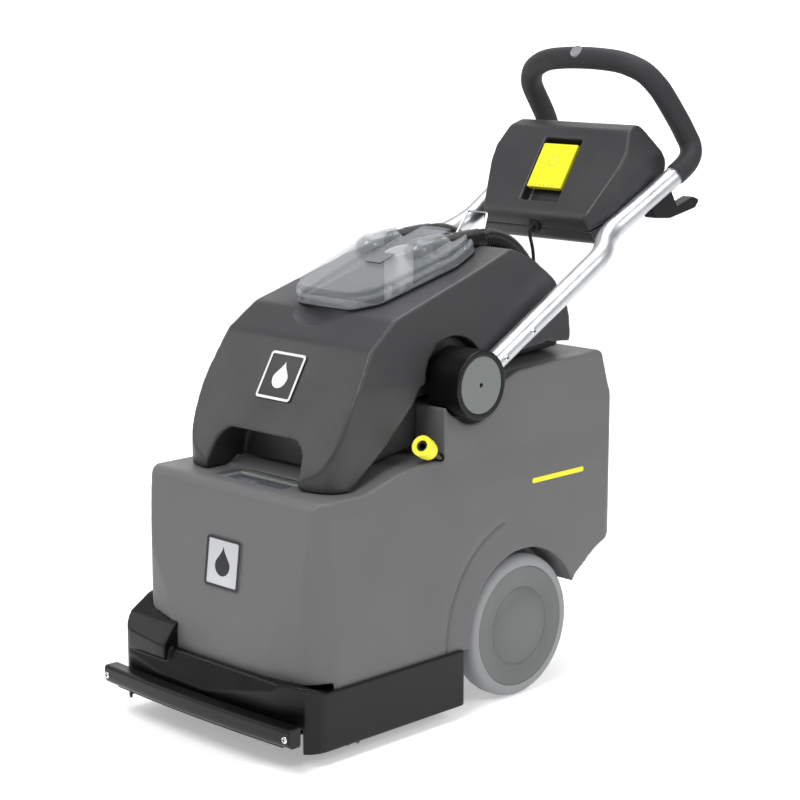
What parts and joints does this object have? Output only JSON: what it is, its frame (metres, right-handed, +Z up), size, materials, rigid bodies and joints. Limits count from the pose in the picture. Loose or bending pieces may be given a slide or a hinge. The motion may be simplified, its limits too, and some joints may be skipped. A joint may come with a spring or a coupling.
{
  "type": "carpet extractor",
  "caption": "Walk-behind carpet extractor: grey base on two wheels, charcoal recovery tank with clear lid and hoses, brush and vacuum shoe in front, folding push handle with console",
  "frame": {"origin": "centre of the bounding box in plan, on the floor the wheels and brush stand on", "axes": "+X across the machine to its right-hand hub seen from behind with the nose away, +Y from the nose to the handle, +Z up"},
  "size_m": [0.46, 1.0517, 1.0678],
  "materials": {
    "body_grey": "fine-grained moulded mid-grey plastic",
    "charcoal": "pebble-grained charcoal plastic",
    "black_plastic": "near-black moulded plastic, slightly shiny",
    "steel_painted": "dark paint on folded steel",
    "natural_plastic": "milky moulded plastic",
    "white_plastic": "white moulded plastic",
    "steel": "bright steel",
    "chrome": "plated screws",
    "badge_silver": "satin silver plate with a dark border",
    "badge_black": "black plate with a light border",
    "tube_alloy": "satin anodised tube",
    "yellow": "yellow moulded plastic",
    "tyre_grey": "light grey rubber tyre",
    "wheel_grey": "greenish-grey moulded wheel disc",
    "rubber_black": "black rubber",
    "grip_rubber": "dark grey soft grip",
    "cap_grey": "mid-grey plastic caps",
    "bristle": "stiff nylon bristles",
    "clear": "clear moulded lid",
    "hose_black": "ribbed black hose",
    "motor_grey": "motor casings",
    "line_clear": "milky feed tube"
  },
  "bodies": {
    "chassis": {"body_shell": "body_grey", "base_skirt": "black_plastic", "chassis_plate": "steel_painted", "solution_tank": "natural_plastic", "fill_strainer": "black_plastic", "mains_inlet": "rubber_black", "body_badge": "badge_silver", "axle": "steel", "axle_clips": "steel", "vacuum_motor": "motor_grey", "vacuum_ducts": "black_plastic", "hose_sockets": "black_plastic", "solution_pump": "motor_grey", "solution_line": "line_clear", "spray_bar": "steel", "spray_nozzles": "yellow", "brush_motor": "motor_grey", "brush_bearings": "black_plastic", "drive_belt": "rubber_black", "pivot_boss_left": "black_plastic", "pivot_boss_right": "black_plastic", "coupling_body": "black_plastic", "console_cable": "rubber_black"},
    "wheel_left": {"tyre_left": "tyre_grey", "rim_left": "black_plastic", "wheel_cover_left": "wheel_grey"},
    "wheel_right": {"tyre_right": "tyre_grey", "rim_right": "black_plastic", "wheel_cover_right": "wheel_grey"},
    "brush": {"brush_core": "black_plastic", "brush_bristles": "bristle"},
    "brush_drive": {"motor_pulley": "steel"},
    "collar": {"coupling_collar": "yellow"},
    "fill_cover": {"fill_lid": "clear"},
    "shoe": {"vacuum_shoe": "black_plastic", "shoe_lip": "rubber_black", "shoe_screws": "chrome"},
    "tank": {"recovery_tank": "charcoal", "tank_badge": "badge_black"},
    "bail": {"tank_bail": "steel"},
    "lid": {"dome_lid": "clear", "lid_gasket": "rubber_black", "float_cage": "white_plastic", "hose_cuffs": "black_plastic", "suction_hose_left": "hose_black", "suction_hose_right": "hose_black"},
    "float": {"float_ball": "white_plastic"},
    "handle": {"handle_tube_left": "tube_alloy", "handle_tube_right": "tube_alloy", "handle_hub_left": "black_plastic", "handle_hub_right": "black_plastic", "hub_discs": "wheel_grey", "tube_screws": "chrome", "grip_loop": "grip_rubber", "grip_caps": "cap_grey", "console_shell": "charcoal", "console_base": "charcoal", "console_gland": "rubber_black", "cable_hook": "black_plastic"},
    "rocker": {"rocker_switch": "yellow"}
  },
  "joints": [
    {"name": "handle_fold", "type": "hinge", "parent": "chassis", "child": "handle", "pos_m": [0, -0.105, 0.552], "axis": [1, 0, 0], "range_deg": [-12, 61], "deforming": ["console_cable"]},
    {"name": "rocker_tilt", "type": "hinge", "parent": "handle", "child": "rocker", "pos_m": [0, 0.33742, 0.85318], "axis": [1, 0, 0], "range_deg": [-6, 6]},
    {"name": "tank_lift", "type": "slide", "parent": "chassis", "child": "tank", "axis": [0, 0, 1], "range_m": [0, 0.036], "deforming": ["suction_hose_left", "suction_hose_right"]},
    {"name": "lid_lift", "type": "slide", "parent": "tank", "child": "lid", "axis": [0, 0, 1], "range_m": [0, 0.05], "deforming": ["suction_hose_left", "suction_hose_right"]},
    {"name": "bail_swing", "type": "hinge", "parent": "tank", "child": "bail", "pos_m": [0, 0.1, 0.735], "axis": [1, 0, 0], "range_deg": [-10, 50]},
    {"name": "float_rise", "type": "slide", "parent": "lid", "child": "float", "axis": [0, 0, 1], "range_m": [0, 0.04]},
    {"name": "fill_hinge", "type": "hinge", "parent": "chassis", "child": "fill_cover", "pos_m": [0, -0.343, 0.405], "axis": [-1, 0, 0], "range_deg": [0, 70]},
    {"name": "collar_slide", "type": "slide", "parent": "chassis", "child": "collar", "axis": [-0.2581, 0.8444, -0.4695], "range_m": [0, 0.0025], "stiffness_N_per_m": 400, "springref_m": -0.004},
    {"name": "shoe_drop", "type": "slide", "parent": "chassis", "child": "shoe", "axis": [0, 0, -1], "range_m": [0, 0.046]},
    {"name": "wheel_spin_left", "type": "hinge", "parent": "chassis", "child": "wheel_left", "pos_m": [-0.18, 0.025, 0.1215], "axis": [1, 0, 0], "continuous": true},
    {"name": "wheel_spin_right", "type": "hinge", "parent": "chassis", "child": "wheel_right", "pos_m": [0.18, 0.025, 0.1215], "axis": [1, 0, 0], "continuous": true},
    {"name": "brush_spin", "type": "hinge", "parent": "chassis", "child": "brush", "pos_m": [0, -0.34, 0.052], "axis": [1, 0, 0], "continuous": true},
    {"name": "motor_spin", "type": "hinge", "parent": "chassis", "child": "brush_drive", "pos_m": [-0.195, -0.27, 0.17], "axis": [1, 0, 0], "continuous": true}
  ],
  "couplings": [
    {"joint": "motor_spin", "follows": "brush_spin", "ratio": 1.5714}
  ]
}
